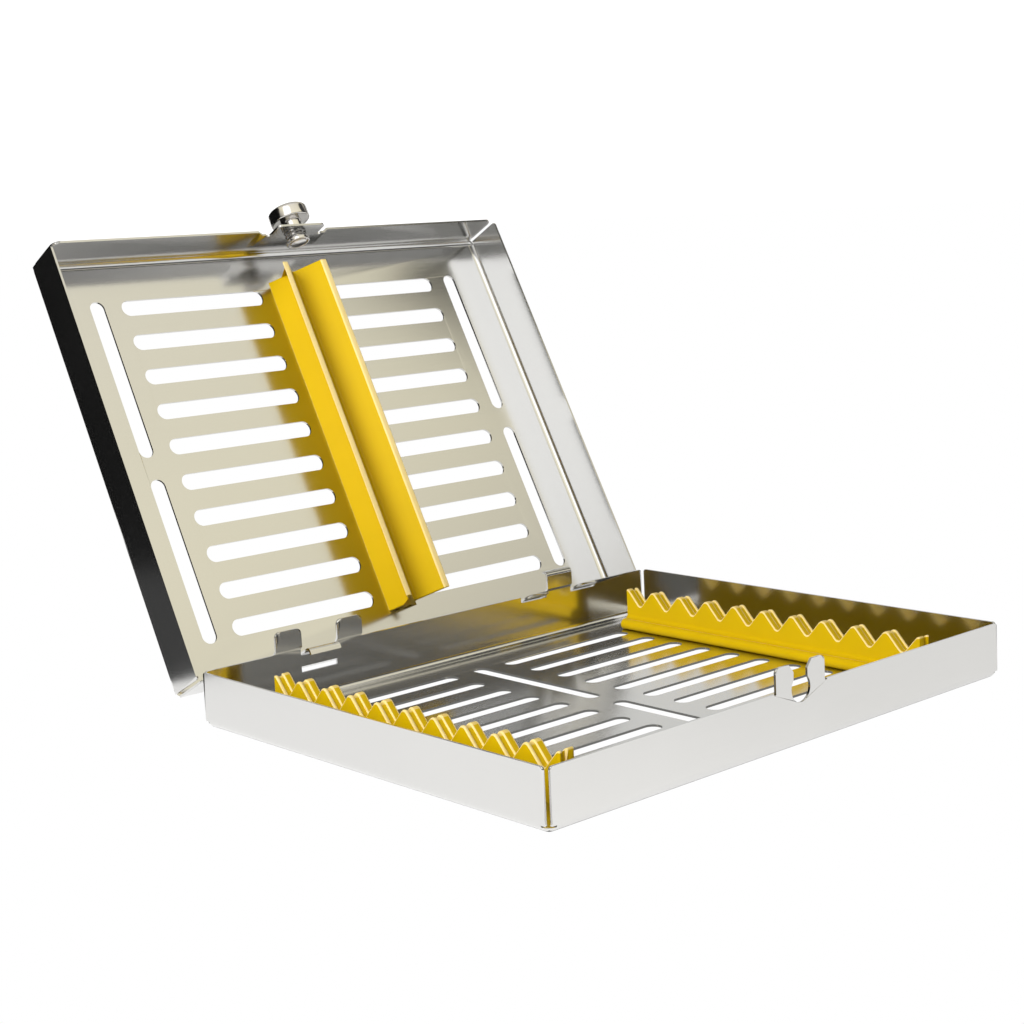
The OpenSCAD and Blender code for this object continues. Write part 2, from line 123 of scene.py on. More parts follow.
class RailSettings(bpy.types.PropertyGroup):
    notches: IntProperty(name="Notches", description="Notches in each rail", default=10, min=8, max=10)
    pitch: length("Pitch", "Distance from notch to notch", 11.7 * MM, 11 * MM, 12.4 * MM)
    tip: length("Tip radius", "Radius at the tips and in the notches", 1.4 * MM, 0.8 * MM, 1.5 * MM)
    slope: FloatProperty(
        name="Slope", description="Slope of a notch's sides", default=radians(48), subtype="ANGLE"
    )
    end: length("End", "Length beyond the last tip", 0.3 * MM, 0.2 * MM, 2 * MM)
    thickness: length("Thickness", "Thickness at the tips, over both lips", 5 * MM, 4.4 * MM, 6.2 * MM)
    groove: length("Groove", "Depth of the groove between the lips", 0.5 * MM, 0.3 * MM, 1.6 * MM)
    cleft: length("Cleft", "Depth of the groove down the ends", 0.8 * MM, 0.5 * MM, 1.6 * MM)


class BarSettings(bpy.types.PropertyGroup):
    thickness: length("Thickness", "Thickness of the arms and feet", 1.6 * MM, 1.2 * MM, 2.2 * MM)
    web: length("Web", "Thickness of the middle web", 2.4 * MM, 1.6 * MM, 3.4 * MM)
    fillet: length("Fillet", "Fillet where the limbs meet", 1 * MM, 0.2 * MM, 1.2 * MM)


class LatchSettings(bpy.types.PropertyGroup):
    turns: FloatProperty(name="Turns", description="Turns of the spring", default=2, min=1.5, max=2.1)
    wire: length("Wire", "Thickness of the spring's wire", 0.5 * MM, 0.3 * MM, 0.6 * MM)
    wide: length("Wide end", "Middle radius of the spring's wide end", 3.6 * MM, 3.3 * MM, 3.7 * MM)
    narrow: length("Narrow end", "Middle radius of the spring's narrow end", 3 * MM, 2.9 * MM, 3.1 * MM)


class StageSettings(bpy.types.PropertyGroup):
    floor: colour("Floor", "Colour of the floor", (0.25, 0.25, 0.25))
    glow: FloatProperty(name="Floor glow", description="Light that the floor gives back", default=0.88, min=0)
    sky: FloatProperty(name="Room", description="Strength of the room's light", default=1, min=0)
    key: FloatProperty(name="Key", description="Power of the main softbox", default=16, min=0, unit="POWER")


class CassetteSettings(bpy.types.PropertyGroup):
    steel: PointerProperty(type=SteelSettings)
    silicone: PointerProperty(type=SiliconeSettings)
    rail: PointerProperty(type=RailSettings)
    bar: PointerProperty(type=BarSettings)
    latch: PointerProperty(type=LatchSettings)
    stage: PointerProperty(type=StageSettings)


class Level:
    """A number socket that takes part in Python sums."""

    def __init__(self, nodes, socket):
        self.nodes = nodes
        self.socket = socket

    def combine(self, operation, first, second):
        return self.nodes.add("ShaderNodeMath", {"operation": operation}, {0: first, 1: second}).level()

    def __add__(self, other):
        return self.combine("ADD", self, other)

    def __radd__(self, other):
        return self.combine("ADD", other, self)

    def __sub__(self, other):
        return self.combine("SUBTRACT", self, other)

    def __rsub__(self, other):
        return self.combine("SUBTRACT", other, self)

    def __mul__(self, other):
        return self.combine("MULTIPLY", self, other)

    def __rmul__(self, other):
        return self.combine("MULTIPLY", other, self)


class Added:
    """A node just added, with short ways to its outputs."""

    def __init__(self, nodes, node):
        self.nodes = nodes
        self.node = node

    def out(self, name=0):
        return self.node.outputs[name]

    def level(self, name=0):
        return Level(self.nodes, self.out(name))


class Nodes:
    """The node tree of a material or of the room, filled one node at a time."""

    def __init__(self, owner):
        owner.use_nodes = True
        self.tree = owner.node_tree
        self.tree.nodes.clear()

    def add(self, kind, settings=None, inputs=None):
        node = self.tree.nodes.new(kind)
        for name, value in (settings or {}).items():
            if name == "stops":
                while len(node.color_ramp.elements) < len(value):
                    node.color_ramp.elements.new(1)
                for element, (place, tint) in zip(node.color_ramp.elements, value):
                    element.position = place
                    element.color = (*tint, 1) if isinstance(tint, tuple) else (tint, tint, tint, 1)
            else:
                setattr(node, name, value)
        for name, value in (inputs or {}).items():
            if isinstance(value, Level):
                value = value.socket
            if isinstance(value, bpy.types.NodeSocket):
                self.tree.links.new(value, node.inputs[name])
            else:
                node.inputs[name].default_value = value
        return Added(self, node)

    def place(self, stretch=(1, 1, 1), turn=(0, 0, 0)):
        """Object coordinates, stretched and turned."""
        where = self.add("ShaderNodeTexCoord").out("Object")
        return self.add("ShaderNodeMapping", {}, {"Vector": where, "Scale": stretch, "Rotation": turn}).out()

    def noise(self, scale, detail=2, roughness=0.5, stretch=(1, 1, 1), turn=(0, 0, 0)):
        place = self.place(stretch, turn)
        inputs = {"Vector": place, "Scale": scale, "Detail": detail, "Roughness": roughness}
        return self.add("ShaderNodeTexNoise", {}, inputs).level("Fac")

    def tint(self, factor, first, second):
        """A colour between two, by a factor. A colour mix keeps its own sockets at 6, 7 and 2."""
        first, second = (c if isinstance(c, bpy.types.NodeSocket) else (*c, 1) for c in (first, second))
        inputs = {"Factor": factor, 6: first, 7: second}
        return self.add("ShaderNodeMix", {"data_type": "RGBA"}, inputs).out(2)

    def bump(self, height, strength, distance):
        inputs = {"Height": height, "Strength": strength, "Distance": distance}
        return self.add("ShaderNodeBump", {}, inputs).out()

    def finish(self, inputs):
        shader = self.add("ShaderNodeBsdfPrincipled", {}, inputs).out()
        self.add("ShaderNodeOutputMaterial", {}, {"Surface": shader})


def shade(base, factor):
    """A colour made lighter or darker by a factor."""
    return tuple(min(1, c * factor) for c in base)


def rolled_steel():
    """Smooth rolled sheet with a faint grain along the hinge and soft, cloudy gloss."""
    steel = bpy.context.scene.cassette.steel
    material = bpy.data.materials.new("rolled_steel")
    nodes = Nodes(material)
    clouds = nodes.noise(scale=22, detail=3)
    grain = nodes.noise(scale=1, detail=3, stretch=(40, 1400, 1400))
    base = tuple(steel.sheet)
    cloudy, grainy = 0.06, 0.16 * steel.grain
    smoothest = steel.sheet_roughness - (cloudy + grainy) / 2
    nodes.finish(
        {
            "Base Color": nodes.tint(clouds * 0.6 + grain * 0.4, shade(base, 0.95), shade(base, 1.05)),
            "Metallic": 1,
            "Roughness": clouds * cloudy + grain * grainy + smoothest,
            "Normal": nodes.bump(grain, 0.03, 0.02 * MM),
        }
    )
    return material


def turned_steel():
    """Bright turned steel with faint smears."""
    steel = bpy.context.scene.cassette.steel
    material = bpy.data.materials.new("turned_steel")
    nodes = Nodes(material)
    smears = nodes.noise(scale=260, detail=3)
    fine = nodes.noise(scale=3800)
    base = tuple(steel.turned)
    smeary = 0.09
    nodes.finish(
        {
            "Base Color": nodes.tint(smears, shade(base, 0.93), shade(base, 1.05)),
            "Metallic": 1,
            "Roughness": smears * smeary + (steel.turned_roughness - 0.04),
            "Normal": nodes.bump(fine, 0.06, 0.02 * MM),
        }
    )
    return material


def spring_wire():
    """Dark drawn wire."""
    steel = bpy.context.scene.cassette.steel
    material = bpy.data.materials.new("spring_wire")
    nodes = Nodes(material)
    marks = nodes.noise(scale=1500, detail=3)
    base = tuple(steel.wire)
    nodes.finish(
        {
            "Base Color": nodes.tint(marks, shade(base, 0.85), shade(base, 1.15)),
            "Metallic": 1,
            "Roughness": marks * 0.12 + 0.22,
            "Normal": nodes.bump(marks, 0.1, 0.02 * MM),
        }
    )
    return material


def moulded_silicone():
    """Satin silicone, a little translucent, with a painted highlight on edges, lip tops and arm tips, and the
    fine texture of its mould.
    """
    silicone = bpy.context.scene.cassette.silicone
    material = bpy.data.materials.new("moulded_silicone")
    nodes = Nodes(material)
    clouds = nodes.noise(scale=60, detail=3)
    skin = nodes.noise(scale=4200)
    # Mask of the painted highlight, from the face attribute "edge".
    edge = nodes.add("ShaderNodeAttribute", {"attribute_name": "edge"}).level("Fac")
    base, pale = tuple(silicone.colour), tuple(silicone.pale)
    body = nodes.tint(clouds, shade(base, 0.94), shade(base, 1.05))
    nodes.finish(
        {
            # Painted highlight: the colour turns pale where the mask is set, in place of light catching the
            # edges.
            "Base Color": nodes.tint(edge * (0.55 + clouds * 0.3), body, pale),
            "Roughness": clouds * 0.1 + (silicone.roughness - 0.05),
            "Subsurface Weight": 0.05,
            "Subsurface Radius": (0.9, 0.45, 0.05),
            "Subsurface Scale": 1.2 * MM,
            "Specular IOR Level": 0.2,
            "Normal": nodes.bump(skin * 0.7 + clouds * 0.3, 0.1, 0.03 * MM),
        }
    )
    return material


def one_of(maker):
    """The material that maker makes, made once and shared."""
    return bpy.data.materials.get(maker.__name__) or maker()


def arc(centre, radius, start, stop, steps):
    """Points of an arc in a flat outline, from angle start to stop."""
    angles = (start + (stop - start) * i / steps for i in range(steps + 1))
    return [(centre[0] + radius * cos(a), centre[1] + radius * sin(a)) for a in angles]


def inset(outline, gap):
    """An outline moved inwards by gap. The outline runs counter-clockwise."""
    moved = []
    count = len(outline)
    for i, (x, z) in enumerate(outline):
        before = Vector(outline[i]) - Vector(outline[i - 1])
        after = Vector(outline[(i + 1) % count]) - Vector(outline[i])
        across = Vector((-before.y, before.x)).normalized() + Vector((-after.y, after.x)).normalized()
        if across.length > 1e-9:
            across = across.normalized() * min(2, 2 / across.length)
        moved.append((x + across.x * gap, z + across.y * gap))
    return moved


def rounded_parts(outline):
    """For each part of an outline, from a point to the next, 1 where it is in a small rounded corner."""
    short = 0.25 * MM
    points = [Vector(point) for point in outline]
    steps = [after - before for before, after in zip(points, points[1:] + points[:1])]
    found = []
    for i, step in enumerate(steps):
        before, after = steps[i - 1], steps[(i + 1) % len(steps)]
        turns = max(before.x * step.y - before.y * step.x, step.x * after.y - step.y * after.x)
        found.append(1.0 if 0 < step.length < short and turns > 0 else 0.0)
    return found


def loft(sections, capped=(True, True)):
    """A skin through sections, each a pair of y and an outline in x and z with as many points.

    Its faces carry the attribute "edge", the mask of a painted highlight, which is 1 on the small rounded
    corners.
    """
    mesh = bmesh.new()
    edge = mesh.faces.layers.float.new("edge")
    rings = [[mesh.verts.new((x, y, z)) for x, z in outline] for y, outline in sections]
    rounded = rounded_parts(sections[0][1])
    count = len(rings[0])
    for here, there in zip(rings, rings[1:]):
        for i in range(count):
            j = (i + 1) % count
            mesh.faces.new((here[i], here[j], there[j], there[i]))[edge] = rounded[i]
    for ring, wanted in ((rings[0], capped[0]), (rings[-1], capped[1])):
        if wanted:
            mesh.faces.new(ring)
    bmesh.ops.triangulate(mesh, faces=[f for f in mesh.faces if len(f.verts) > 4])
    return mesh


def lathed(profile, steps=96):
    """A closed solid turned about z from a profile of radius and height."""
    mesh = bmesh.new()
    rings = []
    for radius, height in profile:
        if radius < 1e-9:
            rings.append([mesh.verts.new((0, 0, height))])
        else:
            turn = (2 * pi * i / steps for i in range(steps))
            rings.append([mesh.verts.new((radius * cos(a), radius * sin(a), height)) for a in turn])
    closed = len(rings[0]) > 1 and len(rings[-1]) > 1
    pairs = list(zip(rings, rings[1:])) + ([(rings[-1], rings[0])] if closed else [])
    for here, there in pairs:
        for i in range(steps):
            j = (i + 1) % steps
            corners = [here[i % len(here)], here[j % len(here)], there[j % len(there)], there[i % len(there)]]
            face = list(dict.fromkeys(corners))
            if len(face) > 2:
                mesh.faces.new(face)
    return mesh


def lip_paleness(face):
    """How much highlight is painted on a face of a rail, for its height alone: the lips are thin, and light
    shines through.
    """
    start, most = 12.6, 0.6
    return min(most, max(0, face.calc_center_median().z / MM - start))


def tip_paleness(face):
    """Marks the flat tips of the bar's arms, which are the only faces below the bar that face down, for a
    painted highlight.
    """
    low_tips = PLATE - 15 * MM
    return 1 if face.normal.z < -0.95 and face.calc_center_median().z < low_tips else 0


def mark_thin(mesh, pale):
    """Raises the painted highlight, the attribute "edge" of each face, to what the given function says of it.
    """
    bmesh.ops.recalc_face_normals(mesh, faces=mesh.faces)
    edge = mesh.faces.layers.float["edge"]
    for face in mesh.faces:
        face[edge] = max(face[edge], pale(face))


def object_from(mesh, name, place=None, material=None):
    """Makes an object of a bmesh, put in place in its mesh, with its faces outwards."""
    if place is not None:
        bmesh.ops.transform(mesh, matrix=place, verts=mesh.verts)
    bmesh.ops.remove_doubles(mesh, verts=mesh.verts, dist=0.002 * MM)
    bmesh.ops.recalc_face_normals(mesh, faces=mesh.faces)
    data = bpy.data.meshes.new(name)
    mesh.to_mesh(data)
    mesh.free()
    data.shade_smooth()
    data.set_sharp_from_angle(angle=radians(40))
    obj = bpy.data.objects.new(name, data)
    bpy.context.scene.collection.objects.link(obj)
    if material is not None:
        data.materials.append(material)
    return obj


def settle(obj, body, slot, *nodes):
    """Hands a finished piece to its body and hides the nodes that it stands for. The slot is not used."""
    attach(obj, body)
    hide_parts(*nodes)


class Tree:
    """A geometry node tree with named inputs."""

    def __init__(self, name, inputs):
        self.tree = bpy.data.node_groups.new(name, "GeometryNodeTree")
        face = self.tree.interface
        face.new_socket("Geometry", in_out="INPUT", socket_type="NodeSocketGeometry")
        for label, kind in inputs.items():
            face.new_socket(label, in_out="INPUT", socket_type="NodeSocket" + kind)
        face.new_socket("Geometry", in_out="OUTPUT", socket_type="NodeSocketGeometry")
        self.given = self.add("NodeGroupInput")

    def add(self, kind, settings=None, inputs=None):
        node = self.tree.nodes.new(kind)
        for name, value in (settings or {}).items():
            setattr(node, name, value)
        for name, value in (inputs or {}).items():
            for one in value if isinstance(value, list) else [value]:
                if isinstance(one, bpy.types.NodeSocket):
                    self.tree.links.new(one, node.inputs[name])
                else:
                    node.inputs[name].default_value = one
        return node.outputs

    def sum(self, operation, first, second=0.0):
        return self.add("ShaderNodeMath", {"operation": operation}, {0: first, 1: second})[0]

    def vector(self, x=0.0, y=0.0, z=0.0):
        return self.add("ShaderNodeCombineXYZ", {}, {0: x, 1: y, 2: z})[0]

    def end(self, geometry):
        whole = self.add("GeometryNodeRealizeInstances", {}, {"Geometry": geometry})[0]
        joined = self.add("GeometryNodeMergeByDistance", {}, {"Geometry": whole, "Distance": 0.004 * MM})[0]
        coloured = self.add(
            "GeometryNodeSetMaterial", {}, {"Geometry": joined, "Material": self.given["Material"]}
        )[0]
        self.add("NodeGroupOutput", {}, {"Geometry": coloured})

    def bake(self, obj, values):
        """Runs the tree on obj with these values. Returns the plain mesh that it makes, and its material."""
        modifier = obj.modifiers.new("rule", "NODES")
        modifier.node_group = self.tree
        sockets = self.tree.interface.items_tree
        names = {item.name: item.identifier for item in sockets if item.in_out == "INPUT"}
        for label, value in values.items():
            modifier[names[label]] = value
        graph = bpy.context.evaluated_depsgraph_get()
        data = bpy.data.meshes.new_from_object(obj.evaluated_get(graph))
        obj.modifiers.remove(modifier)
        mesh = bmesh.new()
        mesh.from_mesh(data)
        bpy.data.meshes.remove(data)
        return mesh, values["Material"]


def notched_rail_tree():
    """Repeats one tooth along the rail, closes both ends with a half tooth and adds the two plugs."""
    tree = Tree(
        "notched_rail",
        {"Notches": "Int", "Pitch": "Float", "Plug place": "Float", "End": "Object", "Plug": "Object",
         "Material": "Material"},
    )
    given = tree.given
    whole = tree.sum("SUBTRACT", given["Notches"], 1.0)
    reach = tree.sum("MULTIPLY", tree.sum("MULTIPLY", whole, 0.5), given["Pitch"])
    first = tree.sum("ADD", tree.sum("MULTIPLY", reach, -1.0), tree.sum("MULTIPLY", given["Pitch"], 0.5))
    line = tree.add(
        "GeometryNodeMeshLine",
        {"mode": "OFFSET"},
        {"Count": whole, "Start Location": tree.vector(y=first), "Offset": tree.vector(y=given["Pitch"])},
    )[0]
    teeth = tree.add("GeometryNodeInstanceOnPoints", {}, {"Points": line, "Instance": given["Geometry"]})[0]
    parts = [teeth]
    for label, distance in (("End", reach), ("Plug", given["Plug place"])):
        part = tree.add("GeometryNodeObjectInfo", {}, {"Object": given[label]})["Geometry"]
        for side in (1.0, -1.0):
            moved = tree.add(
                "GeometryNodeTransform",
                {},
                {
                    "Geometry": part,
                    "Translation": tree.vector(y=tree.sum("MULTIPLY", distance, side)),
                    "Scale": (1.0, side, 1.0),
                },
            )[0]
            parts.append(moved)
    tree.end(tree.add("GeometryNodeJoinGeometry", {}, {"Geometry": parts})[0])
    return tree


def coil_tree():
    """Winds a wire from a wide turn to a narrow one and caps its ends flat."""
    tree = Tree(
        "wound_spring",
        {"Turns": "Float", "Wide": "Float", "Narrow": "Float", "Height": "Float", "Wire": "Float",
         "Material": "Material"},
    )
    given = tree.given
    path = tree.add(
        "GeometryNodeCurveSpiral",
        {},
        {
            "Resolution": 48,
            "Rotations": given["Turns"],
            "Start Radius": given["Wide"],
            "End Radius": given["Narrow"],
            "Height": given["Height"],
        },
    )[0]
    radius = tree.sum("MULTIPLY", given["Wire"], 0.5)
    ring = tree.add("GeometryNodeCurvePrimitiveCircle", {}, {"Resolution": 16, "Radius": radius})["Curve"]
    tube = tree.add(
        "GeometryNodeCurveToMesh", {}, {"Curve": path, "Profile Curve": ring, "Fill Caps": True}
    )[0]
    tree.end(tube)
    return tree


def smooth_sheet(node, name):
    """A copy of a tray whose bends are smooth: it is merged, and its flat faces rule the normals."""
    mesh = bmesh.new()
    mesh.from_mesh(frame["nodes"][node].data)
    bmesh.ops.remove_doubles(mesh, verts=mesh.verts, dist=0.001 * MM)
    data = bpy.data.meshes.new(name)
    mesh.to_mesh(data)
    mesh.free()
    data.shade_smooth()
    data.set_sharp_from_angle(angle=radians(30))
    obj = bpy.data.objects.new(name, data)
    bpy.context.scene.collection.objects.link(obj)
    even = obj.modifiers.new("even", "WEIGHTED_NORMAL")
    even.mode = "FACE_AREA"
    even.weight = 100
    even.keep_sharp = True
    graph = bpy.context.evaluated_depsgraph_get()
    finished = bpy.data.meshes.new_from_object(obj.evaluated_get(graph))
    obj.modifiers.remove(even)
    obj.data = finished
    bpy.data.meshes.remove(data)
    finished.materials.clear()
    finished.materials.append(one_of(rolled_steel))
    return obj


class CASSETTE_OT_trays(bpy.types.Operator):
    """Copy the two slotted trays of rolled steel with smooth bends"""

    bl_idname = "cassette.trays"
    bl_label = "Trays"

    def execute(self, context):
        for body, node in (("base", "base_tray"), ("lid", "lid_tray")):
            settle(smooth_sheet(node, node + "_sheet"), body, "steel", node)
        return {"FINISHED"}


def rail_outline(drop, cleft=False):
    """Section of a rail, inner side at +x, whose tips lie lower by drop.

    A cleft one has its groove down to the foot.
    """
    cassette = bpy.context.scene.cassette
    rail, edge = cassette.rail, cassette.silicone.edge
    half, floor = 3.1 * MM, SHEET
    below_rim, outer_drop = 2.2 * MM, 0.15 * MM
    outer_lip, inner_lip = 1.1 * MM, 2.5 * MM
    foot, foot_reach, nose, fillet = 3.5 * MM, 3.4 * MM, 1.75 * MM, 1.5 * MM
    slope_low, slope_high = 1 * MM, 4 * MM
    inner = TRAY_HEIGHT - below_rim - drop
    outer, groove = inner - outer_drop, inner - rail.groove
    if cleft:
        groove = floor + 0.1 * MM
    outer_x = half - rail.thickness
    outer_in, inner_out = outer_x + outer_lip, half - inner_lip
    nose_x = half + foot_reach - nose
    dip = 0.2 * MM
    points = [(-half, floor), (-half, floor + slope_low), (outer_x, floor + slope_high)]
    points += arc((outer_x + edge, outer - edge), edge, pi, pi / 2, 5)
    points += arc((outer_in - edge, outer - edge), edge, pi / 2, 0, 5)
    points += arc((outer_in + dip, groove + dip), dip, pi, 1.5 * pi, 3)
    points += arc((inner_out - dip, groove + dip), dip, 1.5 * pi, 2 * pi, 3)
    points += arc((inner_out + edge, inner - edge), edge, pi, pi / 2, 5)
    points += arc((half - edge, inner - edge), edge, pi / 2, 0, 5)
    points += arc((half + fillet, floor + foot + fillet), fillet, pi, 1.5 * pi, 6)
    points += arc((nose_x, floor + nose), nose, pi / 2, -pi / 2, 12)
    return points[::-1]


def slope_steps():
    """Places from the bed of a notch up to a tip, each with how far the rail lies below its tips there."""
    rail = bpy.context.scene.cassette.rail
    pitch, tip, slope = rail.pitch, rail.tip, rail.slope
    depth = (pitch / 2 - 2 * tip * sin(slope)) * tan(slope) + 2 * tip * (1 - cos(slope))
    angles = [slope * i / 8 for i in range(9)]
    bed = [(tip * sin(a), depth - tip * (1 - cos(a))) for a in angles]
    crest = [(pitch / 2 - tip * sin(a), tip * (1 - cos(a))) for a in reversed(angles)]
    return bed + crest


def drop_at(steps, y):
    """How far the rail lies below its tips at y, between two of the steps."""
    for (y0, drop0), (y1, drop1) in zip(steps, steps[1:]):
        if y0 <= y <= y1:
            return drop0 + (drop1 - drop0) * (y - y0) / (y1 - y0)
    return 0


def tooth_mesh():
    """One tooth of the rail, from notch to notch."""
    half = slope_steps()
    pitch = bpy.context.scene.cassette.rail.pitch
    steps = [(y - pitch / 2, drop) for y, drop in half]
    steps += [(pitch / 2 - y, drop) for y, drop in reversed(half[:-1])]
    return loft([(y, rail_outline(drop)) for y, drop in steps], (False, False))


def rail_end_mesh():
    """The half tooth that ends the rail, with its edges rounded and the groove carried down its face."""
    cassette = bpy.context.scene.cassette
    rail, edge = cassette.rail, cassette.silicone.edge
    steps = slope_steps()
    stop = rail.pitch / 2 + rail.end
    cleft_at = stop - rail.cleft
    sections = [(y, rail_outline(drop)) for y, drop in steps if y < cleft_at - 0.1 * MM]
    sections.append((cleft_at, rail_outline(drop_at(steps, cleft_at))))
    first = cleft_at + 0.05 * MM
    sections.append((first, rail_outline(drop_at(steps, first), True)))
    for a in (0, pi / 6, pi / 3, pi / 2):
        y = stop - edge * (1 - sin(a))
        outline = rail_outline(drop_at(steps, y), True)
        moved = inset(outline, edge * (1 - cos(a)))
        low = SHEET + 0.5 * MM
        sections.append((y, [(x, z if z < low else up) for (_, z), (x, up) in zip(outline, moved)]))
    return loft(sections, (False, True))


def plug_mesh():
    """A plug of the rail or bar, which fills one long slot of the sheet. Its foot is at z = 0."""
    width, overall, top, edge = 4.7 * MM, 53.5 * MM, 1.1 * MM, 0.12 * MM
    run = overall / 2 - width / 2

    def outline(gap):
        radius = width / 2 - gap
        return arc((0, run), radius, 0, pi, 24) + arc((0, -run), radius, pi, 2 * pi, 24)

    mesh = bmesh.new()
    rings = []
    for height, gap in ((0, edge), (edge, 0), (top, 0)):
        rings.append([mesh.verts.new((x, y, height)) for x, y in outline(gap)])
    count = len(rings[0])
    for here, there in zip(rings, rings[1:]):
        for i in range(count):
            j = (i + 1) % count
            mesh.faces.new((here[i], here[j], there[j], there[i]))
    mesh.faces.new(rings[0])
    mesh.faces.new(rings[-1])
    return mesh


class CASSETTE_OT_rails(bpy.types.Operator):
    """Mould the two notched silicone rails in the lower tray"""

    bl_idname = "cassette.rails"
    bl_label = "Rails"

    def execute(self, context):
        rail = context.scene.cassette.rail
        tooth = tooth_mesh()
        end = object_from(rail_end_mesh(), "rail_end")
        plug = object_from(plug_mesh(), "rail_plug", Matrix.Translation((0, 0, PLUG_RECESS)))
        tree = notched_rail_tree()
        values = {
            "Notches": rail.notches,
            "Pitch": rail.pitch,
            "Plug place": PLUG_PLACE,
            "End": end,
            "Plug": plug,
            "Material": one_of(moulded_silicone),
        }
        for side, node in ((1, "left_rail"), (-1, "right_rail")):
            carrier = object_from(tooth.copy(), "rail_tooth")
            mesh, material = tree.bake(carrier, values)
            bpy.data.objects.remove(carrier)
            # Paints a highlight into the rail's colour along the tops of its lips.
            mark_thin(mesh, lip_paleness)
            place = Matrix.Translation((-side * RAIL_PLACE, 0, 0)) @ Matrix.Diagonal((side, 1, 1, 1))
            obj = object_from(mesh, node + "_silicone", place, material)
            settle(obj, "base", "silicone", node)
        tooth.free()
        for helper in (end, plug):
            bpy.data.objects.remove(helper)
        return {"FINISHED"}


def softened(before, corner, after, cut):
    """A corner of an outline rounded off within the distance cut."""
    here = Vector(corner)
    start = here + (Vector(before) - here).normalized() * cut
    stop = here + (Vector(after) - here).normalized() * cut
    points = (start.lerp(here, t).lerp(here.lerp(stop, t), t) for t in (0, 0.25, 0.5, 0.75, 1))
    return [tuple(point) for point in points]


def bar_outline():
    """Section of the bar about its crossing: two arms, two feet and the web between the feet."""
    cassette = bpy.context.scene.cassette
    bar, edge = cassette.bar, cassette.silicone.edge
    h, web, fillet = bar.thickness / 2, bar.web / 2, bar.fillet
    cross, reach, foot_x = BAR_CROSS, 9 * MM, 5.7 * MM

    def limb(x, z):
        """Angle of a limb whose outer side ends at this place."""
        return atan2(z, x) + copysign(asin(h / hypot(x, z)), z)

    def crotch(a, ha, b, hb, r):
        """Fillet between limbs at angles a and b, of half thicknesses ha and hb."""
        span = sin(b - a)
        centre = (
            ((ha + r) * cos(b) + (hb + r) * cos(a)) / span,
            ((ha + r) * sin(b) + (hb + r) * sin(a)) / span,
        )
        return arc(centre, r, a - pi / 2, b - 1.5 * pi, 10)

    def side(a, d, z):
        """Point at height z on the line beside a limb at angle a, at distance d."""
        s = (z - d * cos(a)) / sin(a)
        return (s * cos(a) - d * sin(a), s * sin(a) + d * cos(a))

    def flat_end(a, half, z, cut):
        """The end of a limb, cut flat at height z, with its corners rounded within cut."""
        first, second = side(a, -half, z), side(a, half, z)
        inner = softened(side(a, -half, z * 0.5), first, second, cut)
        return inner + softened(first, second, side(a, half, z * 0.5), cut)

    tip = cross - BAR_DROP
    arm, foot = limb(reach, tip), limb(foot_x, cross)
    small, sharp = min(fillet, 0.6 * MM), 0.1 * MM
    return (
        flat_end(-pi - arm, h, tip, edge) + crotch(-pi - arm, h, arm, h, fillet)
        + flat_end(arm, h, tip, edge) + crotch(arm, h, foot, h, fillet)
        + flat_end(foot, h, cross, sharp) + crotch(foot, h, pi / 2, web, small)
        + flat_end(pi / 2, web, cross, sharp) + crotch(pi / 2, web, pi - foot, h, small)
        + flat_end(pi - foot, h, cross, sharp) + crotch(pi - foot, h, pi - arm, h, fillet)
    )


class CASSETTE_OT_lid_bar(bpy.types.Operator):
    """Mould the bar in the lid that holds the instruments down"""

    bl_idname = "cassette.lid_bar"
    bl_label = "Lid bar"

    def execute(self, context):
        edge = context.scene.cassette.silicone.edge * 0.8
        outline = bar_outline()
        round_end = [
            (BAR_HALF - edge * (1 - sin(a)), inset(outline, edge * (1 - cos(a))))
            for a in (pi / 2, pi / 3, pi / 6, 0)
        ]
        sections = [(-y, line) for y, line in round_end] + [(y, line) for y, line in reversed(round_end)]
        mesh = loft(sections)
        bmesh.ops.translate(mesh, verts=mesh.verts, vec=(0, 0, PLATE - BAR_CROSS))
        for side in (1, -1):
            plug = plug_mesh()
            lift = Matrix.Translation((0, side * PLUG_PLACE, 2 * TRAY_HEIGHT - PLUG_RECESS))
            bmesh.ops.transform(plug, matrix=lift @ Matrix.Diagonal((1, 1, -1, 1)), verts=plug.verts)
            data = bpy.data.meshes.new("plug")
            plug.to_mesh(data)
            plug.free()
            mesh.from_mesh(data)
            bpy.data.meshes.remove(data)
        # Paints a highlight into the bar's colour on the flat tips of its arms.
        mark_thin(mesh, tip_paleness)
        obj = object_from(mesh, "lid_bar_silicone", opened(), one_of(moulded_silicone))
        settle(obj, "lid", "silicone", "lid_bar")
        return {"FINISHED"}


# The latch is drawn about its pin with +z out of the front
WALL_IN = -70.4 * MM
TONGUE_IN = WALL_IN + SHEET
SPRING_ROOM = 2.5 * MM
WASHER_THICK = 0.8 * MM
WASHER_BACK = TONGUE_IN + SPRING_ROOM + WASHER_THICK
KNOB_FOOT = WALL_IN - 3.4 * MM
PIN_HEIGHT = 15.6 * MM


def on_pin(depth):
    """Puts a turned part on the pin of the open lid, its own origin at this depth."""
    return opened() @ Matrix.Translation((0, depth, PIN_HEIGHT)) @ Matrix.Rotation(pi / 2, 4, "X")


